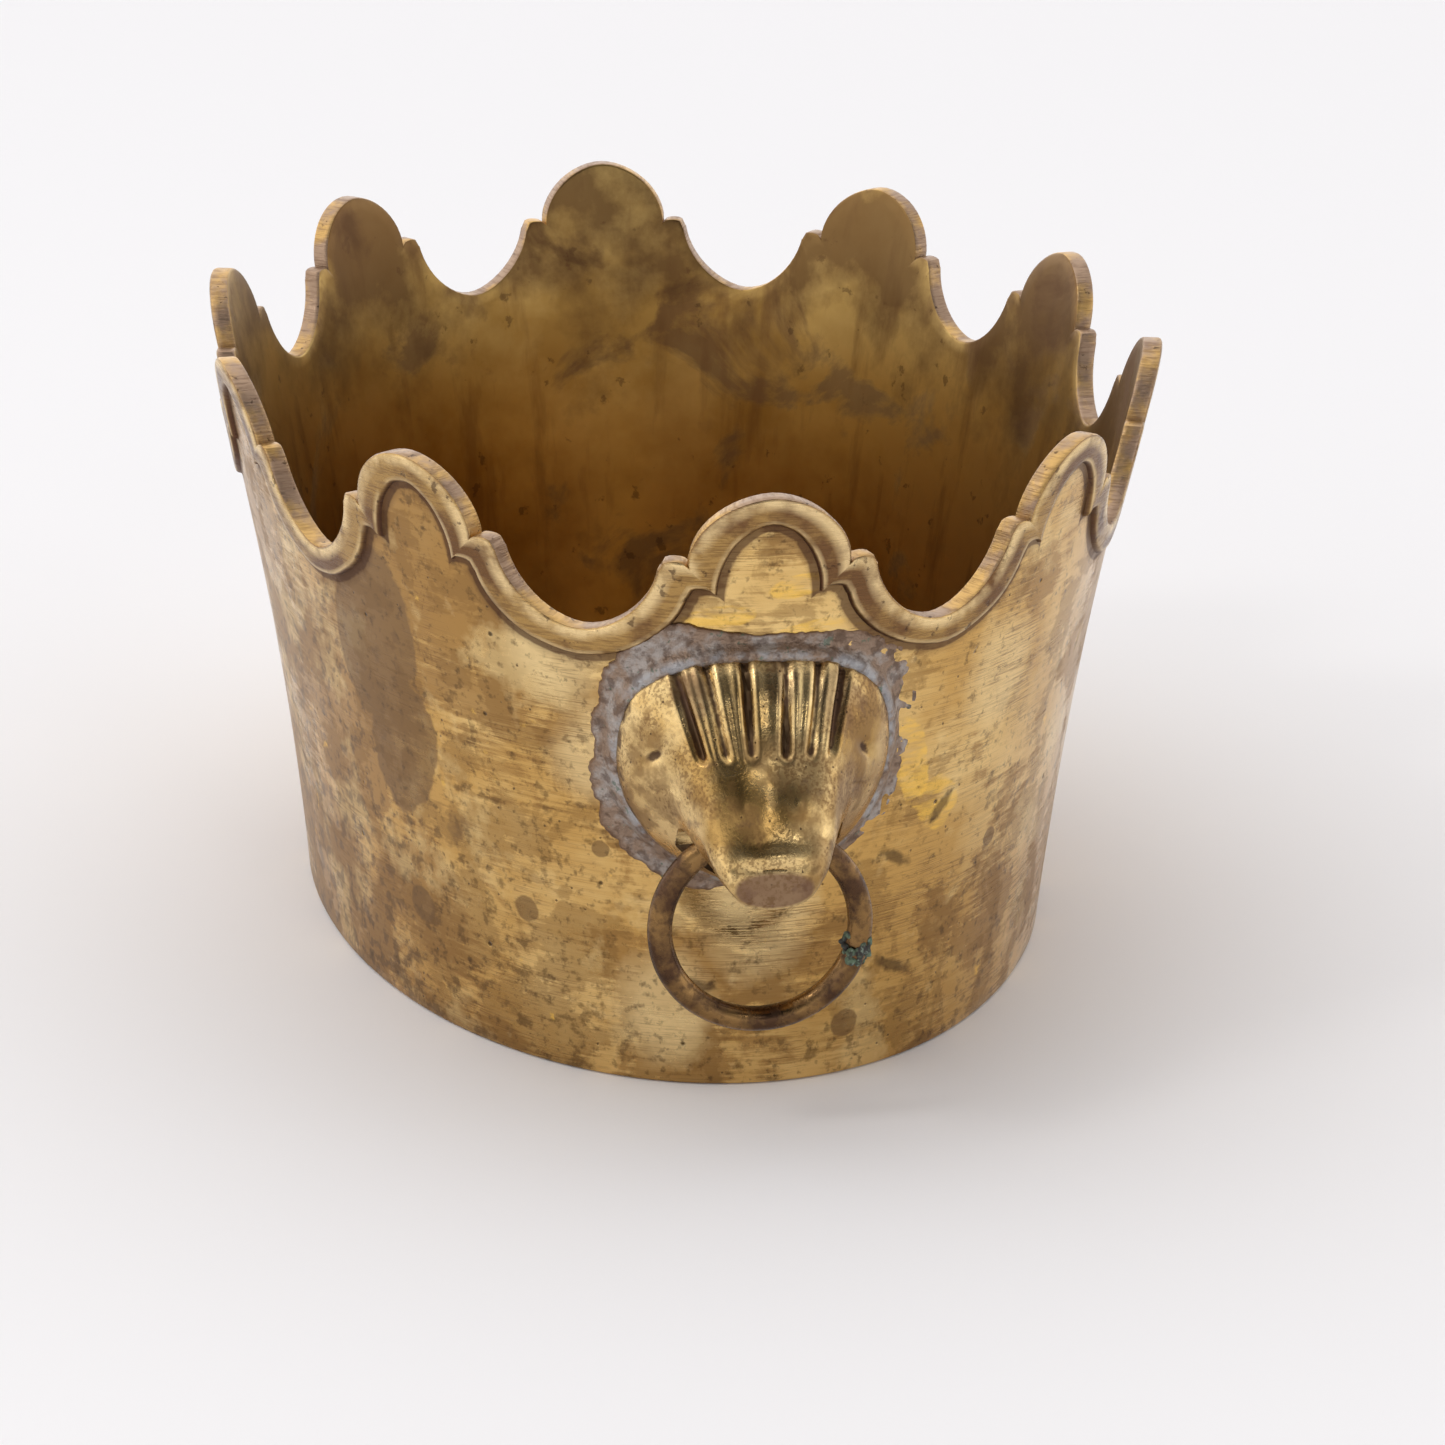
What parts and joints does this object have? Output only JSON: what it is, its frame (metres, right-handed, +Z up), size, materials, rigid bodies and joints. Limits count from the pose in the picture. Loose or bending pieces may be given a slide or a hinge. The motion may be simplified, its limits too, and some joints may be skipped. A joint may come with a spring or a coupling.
{
  "type": "planter pot",
  "caption": "Oval cast-brass planter pot with a flared wall, a scalloped raised-border rim, and a lion head with a swinging wire ring at each end.",
  "frame": {"origin": "middle of the oval foot, on the plane the pot stands on", "axes": "+Z up, Y along the oval's long axis with the front lion head at -Y, X across"},
  "size_m": [0.1426, 0.2266, 0.091],
  "materials": {
    "wall_brass": "cast brass, scraped and polished, worn, with brown tarnish patches",
    "base_brass": "sheet brass, dull and tarnished",
    "head_brass": "cast brass, worn smooth on the high places, dark in the grooves",
    "solder": "soft solder, rough and dull blue-grey, with some verdigris",
    "ring_wire": "brass wire with a dark brown tarnish"
  },
  "bodies": {
    "pot": {"pot_wall": "wall_brass", "base_plate": "base_brass", "base_solder_seam": "solder", "front_lion_head": "head_brass", "rear_lion_head": "head_brass", "front_head_solder": "solder", "rear_head_solder": "solder"},
    "front_ring": {"front_ring": "ring_wire"},
    "rear_ring": {"rear_ring": "ring_wire"}
  },
  "joints": [
    {"name": "front_ring_swing", "type": "hinge", "parent": "pot", "child": "front_ring", "pos_m": [-0.0008, -0.10159, 0.0405], "axis": [-1, 0, 0], "range_deg": [-22, 105]},
    {"name": "rear_ring_swing", "type": "hinge", "parent": "pot", "child": "rear_ring", "pos_m": [0, 0.1016, 0.0405], "axis": [1, 0, 0], "range_deg": [-22, 105]}
  ]
}
